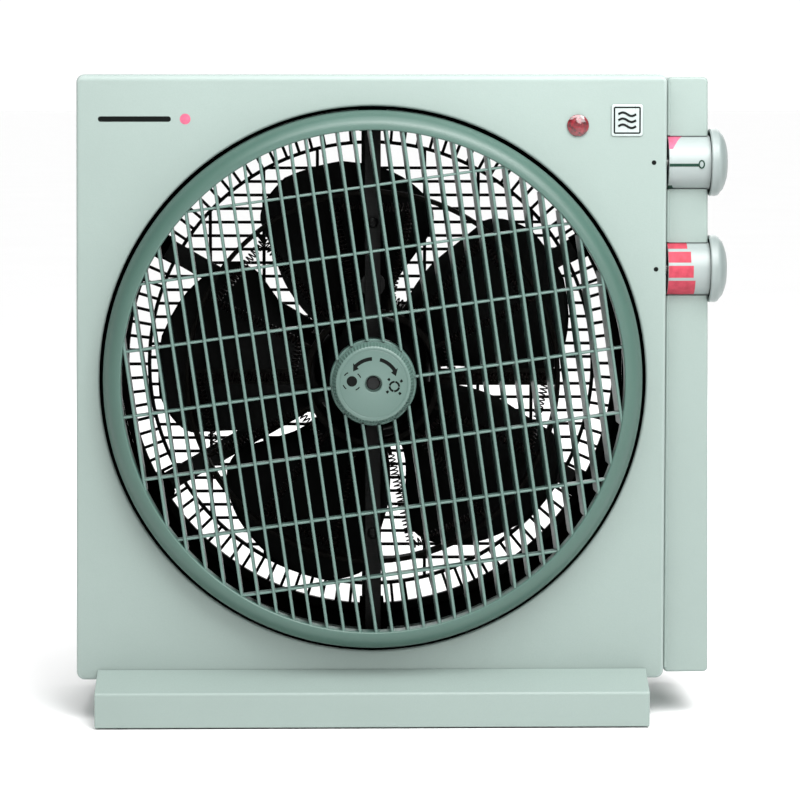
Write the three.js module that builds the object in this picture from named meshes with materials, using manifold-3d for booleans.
// Box fan with an electric heating coil, a rotating louvre grille and two side knobs.
// Millimetres. +X is right seen from the front, the front faces -Y, +Z is up.
// Every shape is drawn in one fan frame: its origin is where the fan axis meets the front
// panel, so Y is depth behind the panel and Z is height above the axis. The finished
// group is then moved so that its origin is under the middle of the object, on the floor.
import * as THREE from 'three';
import { mergeVertices } from 'three/addons/utils/BufferGeometryUtils.js';
import Module from 'manifold-3d';

// ---------------------------------------------------------------- driving dimensions
const AXIS_HEIGHT = 219; // fan axis above the floor
const GAP = 0.3; // clearance between pieces that touch on the real object
const OVERCUT = 1; // how far a cutting tool runs past the face it cuts
const FAR = 300; // beyond the casing on every side, for cutting tools

// casing, measured from the fan axis
const TOP = 194;
const BOTTOM = -192.5;
const LEFT = { top: -187, bottom: -190 }; // the outer sides lean out towards the bottom
const RIGHT = { top: 213.5, bottom: 216.5 };
const SEAM = 186.5; // right edge of the front panel, left edge of the control strip
const DEPTH = 125;
const SPLIT = 60; // depth of the joint between front and rear shells
const WALL = 2.5;
const CORNER = 5; // corner radius of the casing outline
const EDGE = 3; // rounding of the front and rear edges
const OPENING_R = 174;
const COLLAR_DEPTH = 40; // the front opening is lined this far back
const DUCT_R = 169.5; // the rear opening and the duct behind the impeller
const POSTS = { x: 174, z: 180, r: 5, hole: 1.8, pilot: 38 }; // the pilot hole starts at that depth
const WELL = { r: 4.2, floor: 113 }; // sunk wells for the case screws' heads
const BASE_SCREWS = [[-120, 30], [120, 30], [-120, 95], [120, 95]]; // x, y
const BASE_BOSS_TOP = BOTTOM + 12;

// control strip
const STRIP_Y = 12; // how far the strip is set back behind the front panel
const STRIP_STEP = 1.7; // how much lower its top is, and higher its bottom
const STRIP_LEFT = SEAM + 1.1; // leaves the groove beside the front panel
const STRIP_EDGE = 1.2; // rounding of the strip's edges
const BEAD = { width: 2, proud: 1.2 };
const KNOB_Z = { mode: 138, thermostat: 70 };
const KNOB_Y = 17; // depth of the knob axes
const DRUM = { r: 17, wall: 2, x0: 190.2, x1: 214.9, window: 17.7 };
const GRIP = { r: 21.5, x0: 215.4, rim: 222, x1: 226.7 };
const SPINDLE = { r: 3, x0: 178, x1: 217 };

// louvre grille
const RING = { outer: 171.5, inner: 159, proud: 19.5, lip: -8, skirt: 3, wall: 2.6 };
const SLAT = { pitch: 10.15, thick: 1.9, front: -18.5, back: 8, lean: 0.9 }; // the back leans left
const CROSS = { pitch: 41, thick: 2, front: -17, back: RING.lip }; // wedges, thin edge in front
const GRILLE_TURN = 8; // degrees the stopped grille stands turned, anticlockwise
const GRILLE_HUB = { r: 26.8, front: -15, back: 1.5, bore: 8 };
const LOCK_KNOB = { face: 24, r: 26, front: -26, back: -15.5, recess: 5.3 };
const GRILLE_SPINDLE_R = 4;

// impeller and motor
const BLADES = 5;
const BLADE = { middle: 56, thick: 2.2, first: 28, twist: 0.46 }; // twist in mm of depth per degree
// A blade's two edges: radius, then degrees from its middle line clockwise and anticlockwise.
const BLADE_EDGES = [
  [35, 25, 37], [58, 25, 37], [80, 30, 34], [100, 33, 29.5], [115, 30, 27],
  [125, 23, 25.5], [133, 14, 21], [139.5, 2, 14],
];
const HUB = { r: 38, front: 41, back: 73 };
const SHAFT_R = 4;
const MOTOR = { r: 46, front: 76, back: 115 };
const STATOR = { inner: 29.5, front: 92.3, back: 104 };
const WINDING = { inner: 31, outer: 38 };

// heater
const COIL = { runs: 14, inner: 52, outer: 112, y: 22.5, r: 3 };
const FRAME_RINGS = [[40, 44], [117.5, 120.5]]; // inner and outer radius of each
const FRAME_Y = { front: 17, arms: 27, back: 29 };
const STANDOFF_Z = 100;
const BRIDGE = { front: 12, back: 13.6, half: 5, end: 171, screw: 166 };
const BRIDGE_LUG = { half: 9, depth: 16, from: 160 };
const CUTOUT = { r: 8, z: 60, back: 21.6 };

// motor bracket: a disc with six arms that rest on lugs in the duct
const BRACKET = { front: MOTOR.back + GAP, back: 117, disc: 34, arms: 6, half: 6.5, end: 167 };
const BRACKET_LUG = { half: 8, front: 95, from: 157 };
const BRACKET_SCREW = 162;
const MOTOR_SCREW = 24;

// rear guard
const GUARD = { ring: 148.2, ringWidth: 2.4, outer: 163, rim: 169.2, front: 121.5, back: 125 };
const GUARD_BAR = { pitch: 9.1, thick: 2 };
const GUARD_RIB = { pitch: 72, thick: 2.2, front: 120 };
const GUARD_RADIALS = 54;

// plinth and feet
const PLINTH = { left: -176.5, right: 175, reach: 30, foot: -218, crease: -196, lip: -185.6 };
const PLINTH_SLACK = 0.4; // room for the casing between the plinth's shoulders
const FOOT = { r: 8, height: 5, x: 160, inset: 11 };

// pieces on the front panel and the rear face
const LAMP = { x: 129.9, z: 161.7, r: 7, hole: 6.4, depth: 8 };
const BADGE = { x: 161, z: 165, size: 20, thick: 0.8 };
const GLAND = { x: 150, z: -168, hole: 7.2, body: 6.9, flange: 10, bore: 4 };

// switches behind the control strip
const SWITCH = { half: 13, face: 182, left: { mode: 150, thermostat: 170 } };
const TERMINALS = { x: 150, z: -130, half: 20, depth: 13.5, height: 7, pitch: 13 };

// ---------------------------------------------------------------- finishes
const FINISH = {
  casing: [0xbfd0c8, 0.6, 0],
  sage: [0x7fa595, 0.45, 0],
  black: [0x121413, 0.5, 0],
  steel: [0x9a9d9c, 0.35, 0.9],
  winding: [0x8a4a22, 0.4, 0.4],
  mica: [0xb5a98c, 0.7, 0],
  coil: [0x55504a, 0.5, 0.8],
  rubber: [0x1a1a1a, 0.9, 0],
  lamp: [0x8a1820, 0.15, 0],
  phenolic: [0x2a211c, 0.55, 0],
};

// ---------------------------------------------------------------- geometry helpers
const wasm = await Module();
wasm.setup();

const radians = THREE.MathUtils.degToRad;
const lerp = THREE.MathUtils.lerp;
const v2 = (x, y) => new THREE.Vector2(x, y);

// Signed volume of an indexed mesh: negative when its faces point inwards.
function signedVolume(position, index) {
  const [a, b, c] = [new THREE.Vector3(), new THREE.Vector3(), new THREE.Vector3()];
  let volume = 0;
  for (let i = 0; i < index.length; i += 3) {
    a.fromBufferAttribute(position, index[i]);
    b.fromBufferAttribute(position, index[i + 1]);
    c.fromBufferAttribute(position, index[i + 2]);
    volume += a.dot(b.cross(c)) / 6;
  }
  return volume;
}

// Turns a closed three.js geometry into a solid that can be joined and cut.
function solid(geometry) {
  const bare = geometry.clone();
  bare.deleteAttribute('normal');
  bare.deleteAttribute('uv');
  const merged = mergeVertices(bare);
  const index = [];
  for (let i = 0; i < merged.index.count; i += 3) {
    const [a, b, c] = [0, 1, 2].map((k) => merged.index.getX(i + k));
    if (a !== b && b !== c && c !== a) index.push(a, b, c);
  }
  if (signedVolume(merged.attributes.position, index) < 0) index.reverse();
  return new wasm.Manifold(new wasm.Mesh({
    numProp: 3,
    vertProperties: new Float32Array(merged.attributes.position.array),
    triVerts: new Uint32Array(index),
  }));
}

const join = (...parts) => parts.reduce((whole, part) => whole.add(part));
const cut = (whole, ...tools) => tools.reduce((rest, tool) => rest.subtract(tool), whole);

// A closed outline whose corners are rounded.
function outline(points, radius = 0) {
  const shape = new THREE.Shape();
  points.forEach((corner, i) => {
    const before = points[(i + points.length - 1) % points.length];
    const after = points[(i + 1) % points.length];
    const from = corner.clone().add(before.clone().sub(corner).setLength(radius));
    const to = corner.clone().add(after.clone().sub(corner).setLength(radius));
    if (i === 0) shape.moveTo(from.x, from.y);
    else shape.lineTo(from.x, from.y);
    if (radius > 0) shape.quadraticCurveTo(corner.x, corner.y, to.x, to.y);
  });
  shape.closePath();
  return shape;
}

// Extrusions: an outline in (x, z) along Y, one in (y, z) along X, and a box. With a bevel,
// the outline is that of the two ends, and the sides between them stand out by the bevel.
function prismY(shape, y0, y1, bevel = 0) {
  const geometry = new THREE.ExtrudeGeometry(shape, {
    depth: y1 - y0 - 2 * bevel,
    bevelEnabled: bevel > 0,
    bevelSize: bevel,
    bevelThickness: bevel,
    bevelSegments: 2,
    curveSegments: 3,
  });
  geometry.rotateX(Math.PI / 2).translate(0, y1 - bevel, 0);
  return solid(geometry);
}

function prismX(shape, x0, x1) {
  const geometry = new THREE.ExtrudeGeometry(shape, { depth: x1 - x0, bevelEnabled: false });
  const [x, y, z] = [[1, 0, 0], [0, 1, 0], [0, 0, 1]].map((axis) => new THREE.Vector3(...axis));
  geometry.applyMatrix4(new THREE.Matrix4().makeBasis(y, z, x)).translate(x0, 0, 0);
  return solid(geometry);
}

function block([x0, x1], [y0, y1], [z0, z1]) {
  const geometry = new THREE.BoxGeometry(x1 - x0, y1 - y0, z1 - z0);
  geometry.translate((x0 + x1) / 2, (y0 + y1) / 2, (z0 + z1) / 2);
  return solid(geometry);
}

// Round rods along each axis.
function rodY(x, z, r, y0, y1, sides = 16) {
  const geometry = new THREE.CylinderGeometry(r, r, y1 - y0, sides);
  return solid(geometry.translate(x, (y0 + y1) / 2, z));
}

function rodX(y, z, r, x0, x1, sides = 16) {
  const geometry = new THREE.CylinderGeometry(r, r, x1 - x0, sides).rotateZ(Math.PI / 2);
  return solid(geometry.translate((x0 + x1) / 2, y, z));
}

function rodZ(x, y, r, z0, z1, sides = 16) {
  const geometry = new THREE.CylinderGeometry(r, r, z1 - z0, sides).rotateX(Math.PI / 2);
  return solid(geometry.translate(x, y, (z0 + z1) / 2));
}

// Turned pieces: a profile of [radius, y] about the fan axis, or one closed on itself.
function turnedY(profile, sides, closed = true) {
  const points = profile.map(([r, y]) => v2(r, y));
  if (closed) points.push(points[0].clone());
  return solid(new THREE.LatheGeometry(points, sides));
}

function tubeY(inner, outer, y0, y1, sides) {
  return turnedY([[inner, y0], [outer, y0], [outer, y1], [inner, y1]], sides);
}

// The same about an X axis: a profile of [radius, x].
function turnedX(profile, sides, closed = true) {
  const points = profile.map(([r, x]) => v2(r, x));
  if (closed) points.push(points[0].clone());
  return solid(new THREE.LatheGeometry(points, sides).rotateZ(-Math.PI / 2));
}

const model = new THREE.Group();

// Adds a finished solid to the model as a named mesh.
function piece(name, body, finish, position = [0, 0, 0], turn = 0) {
  const { vertProperties, triVerts } = body.getMesh();
  const geometry = new THREE.BufferGeometry();
  geometry.setAttribute('position', new THREE.BufferAttribute(vertProperties, 3));
  geometry.setIndex(new THREE.BufferAttribute(triVerts, 1));
  geometry.computeVertexNormals();
  const [color, roughness, metalness] = FINISH[finish];
  const material = new THREE.MeshStandardMaterial({ color, roughness, metalness });
  const mesh = new THREE.Mesh(geometry, material);
  mesh.name = name;
  mesh.position.set(...position);
  mesh.rotation.y = -radians(turn);
  model.add(mesh);
}

// A pan-head screw along Y, its head at the back (dir 1) or at the front (dir -1).
function screwY(length, dir, headR = 3.6, shankR = 1.5, headHeight = 2) {
  const shank = [[0, -length], [shankR, -length], [shankR, 0]];
  const points = [...shank, [headR, 0], [headR, headHeight * 0.4], [0, headHeight]];
  return turnedY(points.map(([r, y]) => [r, y * dir]), 8, false);
}

// ---------------------------------------------------------------- casing
const sideAt = (side, z) => lerp(side.bottom, side.top, (z - BOTTOM) / (TOP - BOTTOM));

function frontOutline(inset) {
  return outline([
    v2(LEFT.bottom + inset, BOTTOM + inset),
    v2(SEAM - inset, BOTTOM + inset),
    v2(SEAM - inset, TOP - inset),
    v2(LEFT.top + inset, TOP - inset),
  ], CORNER - inset);
}

function rearOutline(inset) {
  return outline([
    v2(LEFT.bottom + inset, BOTTOM + inset),
    v2(RIGHT.bottom - inset, BOTTOM + STRIP_STEP + inset),
    v2(RIGHT.top - inset, TOP - STRIP_STEP - inset),
    v2(LEFT.top + inset, TOP - inset),
  ], CORNER - inset);
}

const SIGNS = [1, -1];
const postPlaces = SIGNS.flatMap((side) => SIGNS.map((level) => [side * POSTS.x, level * POSTS.z]));
const footPlaces = SIGNS.flatMap((side) => (
  [-PLINTH.reach + FOOT.inset, DEPTH + PLINTH.reach - FOOT.inset].map((y) => [side * FOOT.x, y])));

// Bosses for the screws that come up through the plinth, in the front or the rear shell.
function baseBosses(frontHalf) {
  const places = BASE_SCREWS.filter(([, y]) => (y < SPLIT) === frontHalf);
  const bosses = places.map(([x, y]) => rodZ(x, y, POSTS.r, BOTTOM + 1, BASE_BOSS_TOP, 12));
  const holes = places.map(([x, y]) => rodZ(x, y, POSTS.hole, BOTTOM - OVERCUT, BASE_BOSS_TOP - 2, 8));
  return { bosses, holes };
}

// The front shell: the panel with its lined round opening, and walls back to the joint.
function frontShell() {
  const end = SPLIT - GAP;
  const outer = prismY(frontOutline(EDGE), 0, SPLIT + 2 * EDGE, EDGE)
    .intersect(block([-FAR, FAR], [-OVERCUT, end], [-FAR, FAR]));
  const cavity = prismY(frontOutline(WALL), WALL, end + OVERCUT);
  const base = baseBosses(true);
  const posts = postPlaces.map(([x, z]) => rodY(x, z, POSTS.r, 1, end, 12));
  const pilots = postPlaces.map(([x, z]) => rodY(x, z, POSTS.hole, POSTS.pilot, SPLIT, 8));
  const collar = rodY(0, 0, OPENING_R + WALL, 1, COLLAR_DEPTH, 44);
  const opening = rodY(0, 0, OPENING_R, -OVERCUT, COLLAR_DEPTH + OVERCUT, 44);
  const shell = cut(join(cut(outer, cavity), collar, ...posts, ...base.bosses), opening);
  const lugs = SIGNS.map((side) => bridgeLug(side));
  const lugHoles = SIGNS.map((side) => (
    rodY(0, side * BRIDGE.screw, POSTS.hole, BRIDGE.back, BRIDGE.back + 12, 8)));
  const spindleHoles = Object.values(KNOB_Z).map((z) => (
    rodX(KNOB_Y, z, SPINDLE.r + 0.8, SEAM - WALL - OVERCUT, SEAM + OVERCUT)));
  const lampHole = rodY(LAMP.x, LAMP.z, LAMP.hole, -OVERCUT, WALL + OVERCUT);
  return cut(join(shell, ...lugs), ...pilots, ...lugHoles, ...spindleHoles, lampHole, ...base.holes);
}

// A lug inside the collar that carries one end of the front bridge.
function bridgeLug(side) {
  const { half, depth, from } = BRIDGE_LUG;
  const start = BRIDGE.back + GAP;
  const body = block([-half, half], [start, start + depth], [from, OPENING_R + 1]);
  return side > 0 ? body : body.mirror([0, 0, 1]);
}

// Turns about the fan axis, in degrees, of the motor bracket's arms.
const armTurns = () => Array.from({ length: BRACKET.arms }, (_, i) => (i * 360) / BRACKET.arms);

// The rear shell: a tray over the full width with the duct and its bracket lugs.
function rearShell() {
  const outer = prismY(rearOutline(EDGE), SPLIT - 2 * EDGE, DEPTH, EDGE)
    .intersect(block([-FAR, FAR], [SPLIT, DEPTH + OVERCUT], [-FAR, FAR]));
  const cavity = prismY(rearOutline(WALL), SPLIT - OVERCUT, DEPTH - WALL);
  const base = baseBosses(false);
  const posts = postPlaces.map(([x, z]) => rodY(x, z, POSTS.r, SPLIT, DEPTH - 1, 12));
  const duct = rodY(0, 0, DUCT_R + WALL, SPLIT + 2, DEPTH - 1, 44);
  const opening = rodY(0, 0, DUCT_R, SPLIT, DEPTH + OVERCUT, 44);
  const shell = cut(join(cut(outer, cavity), duct, ...posts, ...base.bosses), opening);
  const { half, front, from } = BRACKET_LUG;
  const lug = block([-half, half], [front, MOTOR.back], [from, DUCT_R + 1]);
  const lugs = armTurns().map((turn) => lug.rotate([0, turn, 0]));
  const lugHoles = SIGNS.map((side) => (
    rodY(0, side * BRACKET_SCREW, POSTS.hole, front + 7, MOTOR.back + OVERCUT, 8)));
  const through = postPlaces.map(([x, z]) => (
    rodY(x, z, POSTS.hole, SPLIT - OVERCUT, DEPTH + OVERCUT, 8)));
  const wells = postPlaces.map(([x, z]) => rodY(x, z, WELL.r, WELL.floor, DEPTH + OVERCUT, 12));
  const inlet = rodY(GLAND.x, GLAND.z, GLAND.hole, DEPTH - WALL - OVERCUT, DEPTH + OVERCUT, 16);
  return cut(join(shell, ...lugs), ...lugHoles, ...through, ...wells, inlet, ...base.holes);
}

// The control cover: a channel over the knobs, with a raised bead along the groove.
function controlCover() {
  const end = SPLIT - GAP;
  const shape = (inset) => outline([
    v2(STRIP_LEFT + inset, BOTTOM + STRIP_STEP + inset),
    v2(RIGHT.bottom - inset, BOTTOM + STRIP_STEP + inset),
    v2(RIGHT.top - inset, TOP - STRIP_STEP - inset),
    v2(STRIP_LEFT + inset, TOP - STRIP_STEP - inset),
  ], EDGE - inset);
  const outer = prismY(shape(STRIP_EDGE), STRIP_Y, SPLIT + 2 * STRIP_EDGE, STRIP_EDGE)
    .intersect(block([0, FAR], [0, end], [-FAR, FAR]));
  const cavity = prismY(shape(WALL), STRIP_Y + WALL, SPLIT + OVERCUT);
  const bead = block(
    [STRIP_LEFT, STRIP_LEFT + BEAD.width],
    [STRIP_Y - BEAD.proud, STRIP_Y + 2],
    [BOTTOM + 5, TOP - 5],
  );
  const windows = Object.values(KNOB_Z).map((z) => (
    rodX(KNOB_Y, z, DRUM.window, DRUM.x0 - 0.8, GRIP.x1, 24)));
  const openSide = block(
    [STRIP_LEFT - OVERCUT, STRIP_LEFT + WALL],
    [STRIP_Y + 1.9, SPLIT],
    [BOTTOM + 8, TOP - 8],
  );
  return cut(join(cut(outer, cavity), bead), ...windows, openSide);
}

// The hollow plinth: its section has sloping shoulders and a seat for the casing.
function plinth() {
  const seat = BOTTOM - GAP;
  const profile = (inset, foot) => {
    const reach = PLINTH.reach - inset;
    const slack = PLINTH_SLACK + inset;
    const crease = PLINTH.crease - inset * 0.7;
    const lip = PLINTH.lip - inset * 1.35;
    const front = [v2(-reach, foot), v2(-reach, crease), v2(-slack, lip), v2(-slack, seat - inset)];
    const back = front.map((point) => v2(DEPTH - point.x, point.y)).reverse();
    return outline([...front, ...back]);
  };
  const outer = prismX(profile(0, PLINTH.foot), PLINTH.left, PLINTH.right);
  const hollow = prismX(profile(WALL, PLINTH.foot - OVERCUT), PLINTH.left + WALL, PLINTH.right - WALL);
  const pads = footPlaces.map(([x, y]) => (
    rodZ(x, y, FOOT.r + 2, -AXIS_HEIGHT + FOOT.height + GAP, PLINTH.lip).intersect(outer)));
  const holes = BASE_SCREWS.map(([x, y]) => (
    rodZ(x, y, POSTS.hole, seat - WALL - OVERCUT, seat + OVERCUT, 8)));
  return cut(join(cut(outer, hollow), ...pads), ...holes);
}

piece('front_shell', frontShell(), 'casing');
piece('rear_shell', rearShell(), 'casing');
piece('control_cover', controlCover(), 'casing');
piece('base_plinth', plinth(), 'casing');
footPlaces.forEach(([x, y], i) => {
  const foot = rodZ(0, 0, FOOT.r, 0, FOOT.height);
  piece(`rubber_foot_${i + 1}`, foot, 'rubber', [x, y, -AXIS_HEIGHT]);
});

// ---------------------------------------------------------------- louvre grille and its lock
// Half the length of a straight bar at this distance from the middle of a round frame.
const halfChord = (radius, offset) => Math.sqrt(radius * radius - offset * offset);

// Offsets from the middle of the parallel bars that fit inside a radius.
function offsets(pitch, radius) {
  const all = [0];
  for (let at = pitch; at < radius - pitch * 0.4; at += pitch) all.push(at, -at);
  return all;
}

function louvreGrille() {
  const { outer, inner, proud, lip, skirt, wall } = RING;
  const ring = turnedY([
    [outer, skirt], [outer, -1], [outer - 1.6, -8], [outer - 5.5, -15],
    [inner + 1.5, -proud], [inner, -proud + 1], [inner, lip],
    [inner + wall, lip], [inner + wall + 0.6, -15.5], [outer - wall - 3.4, -11],
    [outer - wall, -1], [outer - wall, skirt],
  ], 44);
  const reach = inner + 0.8;
  const slope = SLAT.lean / (SLAT.back - SLAT.front);
  const shear = [1, 0, 0, 0, -slope, 1, 0, 0, 0, 0, 1, 0, slope * SLAT.front, 0, 0, 1];
  const slats = offsets(SLAT.pitch, inner).map((x) => {
    const half = halfChord(reach + 0.4, x - SLAT.lean / 2);
    const sides = [x - SLAT.thick / 2, x + SLAT.thick / 2];
    return block(sides, [SLAT.front, SLAT.back], [-half, half]).transform(shear);
  });
  const bars = offsets(CROSS.pitch, inner).map((z) => {
    const half = halfChord(reach, z);
    const section = outline([
      v2(CROSS.front, z), v2(CROSS.back, z - CROSS.thick / 2), v2(CROSS.back, z + CROSS.thick / 2),
    ]);
    return prismX(section, -half, half);
  });
  const hub = rodY(0, 0, GRILLE_HUB.r, SLAT.front + 1, GRILLE_HUB.back, 28);
  const seat = rodY(0, 0, LOCK_KNOB.r + 1, SLAT.front - OVERCUT, GRILLE_HUB.front, 28);
  const bore = rodY(0, 0, GRILLE_HUB.bore, SLAT.front - OVERCUT, GRILLE_HUB.back + OVERCUT, 16);
  const behind = rodY(0, 0, GRILLE_HUB.r - 2, GRILLE_HUB.back, SLAT.back + OVERCUT, 28);
  return cut(join(ring, ...slats, ...bars, hub), seat, bore, behind);
}

function grilleBush() {
  const bore = GRILLE_SPINDLE_R + GAP;
  const outer = GRILLE_HUB.bore - GAP;
  const flange = GRILLE_HUB.back + GAP;
  return turnedY([
    [bore, GRILLE_HUB.front + 1], [outer, GRILLE_HUB.front + 1], [outer, flange],
    [outer + 3, flange], [outer + 3, flange + 2.7], [bore, flange + 2.7],
  ], 16);
}

function lockKnob() {
  const { face, r, front, back, recess } = LOCK_KNOB;
  const bore = GRILLE_SPINDLE_R + GAP;
  return turnedY([
    [recess, front], [face - 1, front], [face, front + 0.8], [r, front + 7], [r, back],
    [r - 2.4, back], [face - 2.5, front + 3], [recess + 3, front + 3], [recess + 3, back],
    [bore, back], [bore, front + 6.5], [recess, front + 6.5],
  ], 32);
}

function grilleSpindle() {
  const r = GRILLE_SPINDLE_R;
  const shoulder = BRIDGE.front - GAP;
  return turnedY([
    [0, -20.5], [r, -20.5], [r, 5.5], [7, 5.5], [7, shoulder],
    [r, shoulder], [r, BRIDGE.back + 6], [0, BRIDGE.back + 6],
  ], 16, false);
}

piece('louvre_grille', louvreGrille(), 'sage', [0, 0, 0], GRILLE_TURN);
piece('grille_bush', grilleBush(), 'black');
piece('lock_knob', lockKnob(), 'sage');
piece('grille_spindle', grilleSpindle(), 'steel');
const nutFront = BRIDGE.back + GAP;
const nutBlank = rodY(0, 0, 7.5, nutFront, nutFront + 4, 6);
const nutBore = rodY(0, 0, GRILLE_SPINDLE_R + GAP, nutFront - OVERCUT, nutFront + 5, 16);
piece('spindle_nut', cut(nutBlank, nutBore), 'steel');

// ---------------------------------------------------------------- front bridge and heater
function frontBridge() {
  const { front, back, half, end, screw } = BRIDGE;
  const strap = block([-half, half], [front, back], [-end, end]);
  const disc = rodY(0, 0, 14, front, back, 20);
  const holes = [screw, -screw, STANDOFF_Z, -STANDOFF_Z].map((z) => (
    rodY(0, z, POSTS.hole, front - OVERCUT, back + OVERCUT, 8)));
  const bore = rodY(0, 0, GRILLE_SPINDLE_R + GAP, front - OVERCUT, back + OVERCUT, 16);
  return cut(join(strap, disc), ...holes, bore);
}

// Two insulating rings on four arms; the coil is strung between the rings.
function heaterFrame() {
  const rings = FRAME_RINGS.map(([inner, outer]) => tubeY(inner, outer, FRAME_Y.front, FRAME_Y.back, 36));
  const reach = FRAME_RINGS[1][0] + 1;
  const start = FRAME_RINGS[0][1] - 1;
  const upright = block([-5, 5], [FRAME_Y.arms, FRAME_Y.back], [start, reach]);
  const level = block([start, reach], [FRAME_Y.arms, FRAME_Y.back], [-5, 5]);
  const arms = [upright, upright.mirror([0, 0, 1]), level, level.mirror([1, 0, 0])];
  const standoffs = [STANDOFF_Z, -STANDOFF_Z].map((z) => (
    rodY(0, z, POSTS.r, BRIDGE.back + GAP, FRAME_Y.arms + 1, 12)));
  const holes = [STANDOFF_Z, -STANDOFF_Z].map((z) => (
    rodY(0, z, POSTS.hole, BRIDGE.back - OVERCUT, FRAME_Y.arms - 3, 8)));
  return cut(join(...rings, ...arms, ...standoffs), ...holes);
}

// The coil's envelope: radial runs joined by bends in turn at the outer and inner ring.
function heaterCoil() {
  const points = [];
  for (let run = 0; run < COIL.runs; run += 1) {
    const angle = radians(270 + (run + 0.5) * (360 / COIL.runs));
    const radii = run % 2 === 0 ? [COIL.inner, COIL.outer] : [COIL.outer, COIL.inner];
    radii.forEach((r) => points.push([r, angle]));
  }
  const path = new THREE.CurvePath();
  const at = ([r, angle]) => new THREE.Vector3(r * Math.cos(angle), COIL.y, r * Math.sin(angle));
  for (let i = 1; i < points.length; i += 1) {
    path.add(new THREE.LineCurve3(at(points[i - 1]), at(points[i])));
  }
  const section = outline([v2(COIL.r, 0), v2(0, COIL.r), v2(-COIL.r, 0), v2(0, -COIL.r)]);
  return path.curves.map((line) => {
    const direction = line.v2.clone().sub(line.v1);
    const depth = direction.length();
    const geometry = new THREE.ExtrudeGeometry(section, { depth, bevelEnabled: false });
    const turn = new THREE.Quaternion();
    turn.setFromUnitVectors(new THREE.Vector3(0, 0, 1), direction.normalize());
    return solid(geometry.applyQuaternion(turn).translate(...line.v1.toArray()));
  }).reduce((whole, part) => whole.add(part));
}

piece('front_bridge', frontBridge(), 'steel');
piece('heater_frame', heaterFrame(), 'mica');
piece('heater_coil', heaterCoil(), 'coil');
piece('thermal_cutout', rodY(0, CUTOUT.z, CUTOUT.r, BRIDGE.back + GAP, CUTOUT.back, 24), 'steel');

// ---------------------------------------------------------------- impeller and motor
// One blade: a box bent into a helical vane between the blade's two edges.
function impellerBlade(centre) {
  const spans = BLADE_EDGES.length - 1;
  const geometry = new THREE.BoxGeometry(1, 1, 1, 4, 1, spans);
  const position = geometry.attributes.position;
  for (let i = 0; i < position.count; i += 1) {
    const [radius, clockwise, anticlockwise] = BLADE_EDGES[Math.round((position.getZ(i) + 0.5) * spans)];
    const offset = lerp(-clockwise, anticlockwise, position.getX(i) + 0.5);
    const angle = radians(centre + offset);
    const y = BLADE.middle + position.getY(i) * BLADE.thick - offset * BLADE.twist;
    position.setXYZ(i, radius * Math.cos(angle), y, radius * Math.sin(angle));
  }
  return solid(geometry);
}

function impeller() {
  const bore = SHAFT_R + GAP;
  const hub = turnedY([
    [bore, HUB.front], [30, HUB.front], [HUB.r, HUB.front + 8], [HUB.r, HUB.back],
    [HUB.r - WALL, HUB.back], [HUB.r - WALL, HUB.front + 8], [29, HUB.front + WALL],
    [9, HUB.front + WALL], [9, HUB.back - 4], [bore, HUB.back - 4],
  ], 30);
  const blades = Array.from({ length: BLADES }, (_, i) => impellerBlade(BLADE.first + (i * 360) / BLADES));
  const hollow = cut(
    rodY(0, 0, HUB.r - WALL, HUB.front + 8, HUB.back + OVERCUT, 30),
    rodY(0, 0, 9, HUB.front, HUB.back + 2 * OVERCUT, 30),
  );
  return join(hub, ...blades.map((blade) => cut(blade, hollow)));
}

function capNut() {
  const bore = SHAFT_R + GAP;
  const back = HUB.front - GAP;
  return turnedY([
    [0, back - 9], [4.5, back - 8.2], [7.5, back - 5], [7.5, back], [bore, back],
    [bore, back - 4.5], [0, back - 4.5],
  ], 16, false);
}

// The motor's end bells are the same pressing: one faces forward, one back.
function motorBell(faceY, seamY) {
  const dir = Math.sign(seamY - faceY);
  const at = (r, y) => [r, faceY + dir * y];
  const seam = Math.abs(seamY - faceY);
  const bore = SHAFT_R + GAP;
  return turnedY([
    at(bore, 0), at(40, 0), at(MOTOR.r, 5), [MOTOR.r, seamY], at(MOTOR.r - WALL, seam),
    at(MOTOR.r - WALL, 6), at(39, 2.6), at(10, 2.6), at(10, 7), at(bore, 7),
  ], 30);
}

function motorBracket() {
  const { front, back, half, end } = BRACKET;
  const arm = block([-half, half], [front, back], [0, end]);
  const arms = armTurns().map((turn) => arm.rotate([0, turn, 0]));
  const disc = rodY(0, 0, BRACKET.disc, front, back, 24);
  const hole = (x, z) => rodY(x, z, POSTS.hole, front - OVERCUT, back + OVERCUT, 8);
  const holes = SIGNS.flatMap((side) => [hole(0, side * BRACKET_SCREW), hole(side * MOTOR_SCREW, 0)]);
  return cut(join(disc, ...arms), ...holes);
}

const bellHoles = SIGNS.map((side) => (
  rodY(side * MOTOR_SCREW, 0, POSTS.hole, MOTOR.back - 9, MOTOR.back + OVERCUT, 8)));

piece('impeller', impeller(), 'black');
piece('impeller_nut', capNut(), 'black');
piece('motor_shaft', rodY(0, 0, SHAFT_R, HUB.front - 4, MOTOR.back - 1, 24), 'steel');
const rotor = tubeY(SHAFT_R + GAP, STATOR.inner - 1, STATOR.front - 1, STATOR.back + 1, 24);
piece('motor_rotor', rotor, 'steel');
piece('motor_front_bell', motorBell(MOTOR.front, STATOR.front - GAP), 'steel');
piece('motor_stator', tubeY(STATOR.inner, MOTOR.r, STATOR.front, STATOR.back, 30), 'steel');
piece('motor_rear_bell', cut(motorBell(MOTOR.back, STATOR.back + GAP), ...bellHoles), 'steel');
const winding = (y0, y1) => tubeY(WINDING.inner, WINDING.outer, y0, y1, 24);
piece('winding_front', winding(STATOR.front - 7, STATOR.front - GAP), 'winding');
piece('winding_rear', winding(STATOR.back + GAP, STATOR.back + 6), 'winding');
piece('motor_bracket', motorBracket(), 'steel');

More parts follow.
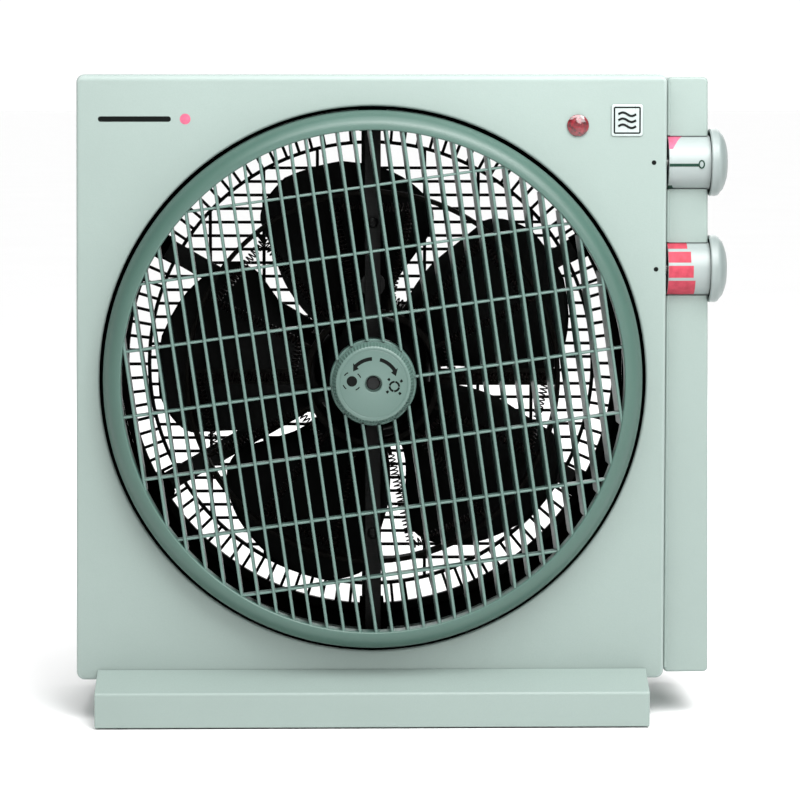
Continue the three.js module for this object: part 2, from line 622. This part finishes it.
// ---------------------------------------------------------------- rear guard
function rearGuard() {
  const { ring, ringWidth, outer, rim, front, back } = GUARD;
  const rings = [
    tubeY(ring, ring + ringWidth, GUARD_RIB.front, back, 44),
    tubeY(outer, rim, GUARD_RIB.front, back, 44),
  ];
  const bars = offsets(GUARD_BAR.pitch, ring).slice(1).map((place) => {
    const z = place - GUARD_BAR.pitch / 2;
    const half = halfChord(ring + 1.3, z);
    return block([-half, half], [front, back], [z - GUARD_BAR.thick / 2, z + GUARD_BAR.thick / 2]);
  });
  const ribs = offsets(GUARD_RIB.pitch, ring).map((x) => {
    const half = halfChord(ring + 1.3, x);
    const sides = [x - GUARD_RIB.thick / 2, x + GUARD_RIB.thick / 2];
    return block(sides, [GUARD_RIB.front, front + 1], [-half, half]);
  });
  const radials = Array.from({ length: GUARD_RADIALS }, (_, i) => {
    const geometry = new THREE.BoxGeometry(outer - ring - ringWidth + 2, back - front, GUARD_BAR.thick);
    geometry.translate((outer + ring + ringWidth) / 2, (front + back) / 2, 0);
    return solid(geometry.rotateY(radians((i * 360) / GUARD_RADIALS)));
  });
  return join(...rings, ...bars, ...ribs, ...radials);
}

piece('rear_guard', rearGuard(), 'black');

// ---------------------------------------------------------------- controls and electrics
// The printed drum that shows through the strip, and the grip that it turns with.
const drum = () => turnedX([
  [DRUM.r, DRUM.x0], [DRUM.r, DRUM.x1], [5.9, DRUM.x1], [5.9, DRUM.x1 - DRUM.wall],
  [DRUM.r - DRUM.wall, DRUM.x1 - DRUM.wall], [DRUM.r - DRUM.wall, DRUM.x0],
], 24);

const grip = () => turnedX([
  [0, GRIP.x1], [13, GRIP.x1 - 1], [GRIP.r, GRIP.rim], [GRIP.r, GRIP.x0], [GRIP.r - 2, GRIP.x0],
  [GRIP.r - 2, GRIP.rim - 2], [5.5, GRIP.rim - 2], [5.5, DRUM.x0 + 6],
  [SPINDLE.r + GAP, DRUM.x0 + 6], [SPINDLE.r + GAP, SPINDLE.x1 + 1], [0, SPINDLE.x1 + 1],
], 24, false);

Object.entries(KNOB_Z).forEach(([control, z]) => {
  const at = [0, KNOB_Y, z];
  piece(`${control}_knob_drum`, drum(), 'casing', at);
  piece(`${control}_knob_grip`, grip(), 'casing', at);
  piece(`${control}_spindle`, rodX(0, 0, SPINDLE.r, SPINDLE.x0, SPINDLE.x1, 16), 'steel', at);
  const sides = [-SWITCH.half, SWITCH.half];
  const body = block([SWITCH.left[control], SWITCH.face], sides, sides);
  const socket = rodX(0, 0, SPINDLE.r + GAP, SPINDLE.x0 - 1, SWITCH.face + OVERCUT);
  piece(`${control}_switch_body`, cut(body, socket), 'phenolic', at);
});

function controlBracket() {
  const plate = block([SWITCH.face + GAP, SEAM - WALL - GAP], [4, 50], [50, 158]);
  const holes = Object.values(KNOB_Z).map((z) => (
    rodX(KNOB_Y, z, SPINDLE.r + 0.6, SWITCH.face - OVERCUT, SEAM)));
  return cut(plate, ...holes);
}

function pilotLens() {
  const profile = [
    [0, -3], [4.2, -2.6], [LAMP.r, -1.4], [LAMP.r, -GAP], [LAMP.hole - GAP, -GAP],
    [LAMP.hole - GAP, LAMP.depth], [0, LAMP.depth],
  ];
  return turnedY(profile, 24, false);
}

function cordGland() {
  const { body, flange, bore } = GLAND;
  return turnedY([
    [bore, DEPTH - 10], [body, DEPTH - 10], [body, DEPTH + GAP], [flange, DEPTH + GAP],
    [flange, DEPTH + 2.5], [flange - 3, DEPTH + 4], [bore, DEPTH + 4],
  ], 16);
}

function terminalBlock() {
  const { half, depth, height, pitch } = TERMINALS;
  const body = block([-half, half], [-depth, 0], [-height, height]);
  const wells = [-pitch, 0, pitch].map((x) => rodY(x, 0, 3.2, -depth - OVERCUT, -6, 12));
  return cut(body, ...wells);
}

piece('control_bracket', controlBracket(), 'steel');
piece('pilot_lens', pilotLens(), 'lamp', [LAMP.x, 0, LAMP.z]);
const holder = rodY(0, 0, LAMP.r + 1.5, LAMP.depth + GAP, 26, 20);
piece('pilot_lamp_holder', holder, 'phenolic', [LAMP.x, 0, LAMP.z]);
const badgeSides = [-BADGE.size / 2, BADGE.size / 2];
const badge = block(badgeSides, [0, BADGE.thick], badgeSides);
piece('badge_plate', badge, 'casing', [BADGE.x, -GAP - BADGE.thick, BADGE.z]);
piece('cord_gland', cordGland(), 'rubber', [GLAND.x, 0, GLAND.z]);
piece('terminal_block', terminalBlock(), 'phenolic', [TERMINALS.x, DEPTH - WALL - GAP, TERMINALS.z]);

// ---------------------------------------------------------------- screws
function screws(name, places, body) {
  places.forEach((place, i) => piece(`${name}_${i + 1}`, body, 'steel', place));
}

const both = (z, y) => [[0, y, z], [0, y, -z]];
screws('case_screw', postPlaces.map(([x, z]) => [x, WELL.floor + GAP, z]), screwY(70, 1, 3.8));
screws('bridge_screw', both(BRIDGE.screw, BRIDGE.front - GAP), screwY(11, -1));
screws('heater_screw', both(STANDOFF_Z, BRIDGE.front - GAP), screwY(9, -1));
screws('bracket_screw', both(BRACKET_SCREW, BRACKET.back + GAP), screwY(12, 1));
screws('motor_screw', SIGNS.map((side) => [side * MOTOR_SCREW, BRACKET.back + GAP, 0]), screwY(8, 1));
BASE_SCREWS.forEach(([x, y], i) => {
  const shank = rodZ(0, 0, 1.5, 0, 12.5, 8);
  const head = rodZ(0, 0, 3.8, -2.2, 0, 8);
  piece(`base_screw_${i + 1}`, join(shank, head), 'steel', [x, y, BOTTOM - WALL - 2 * GAP]);
});

// ---------------------------------------------------------------- the finished object
const object = new THREE.Group();
model.position.set(
  -(LEFT.bottom + GRIP.x1) / 2,
  -DEPTH / 2,
  AXIS_HEIGHT,
);
object.add(model);

export default object;
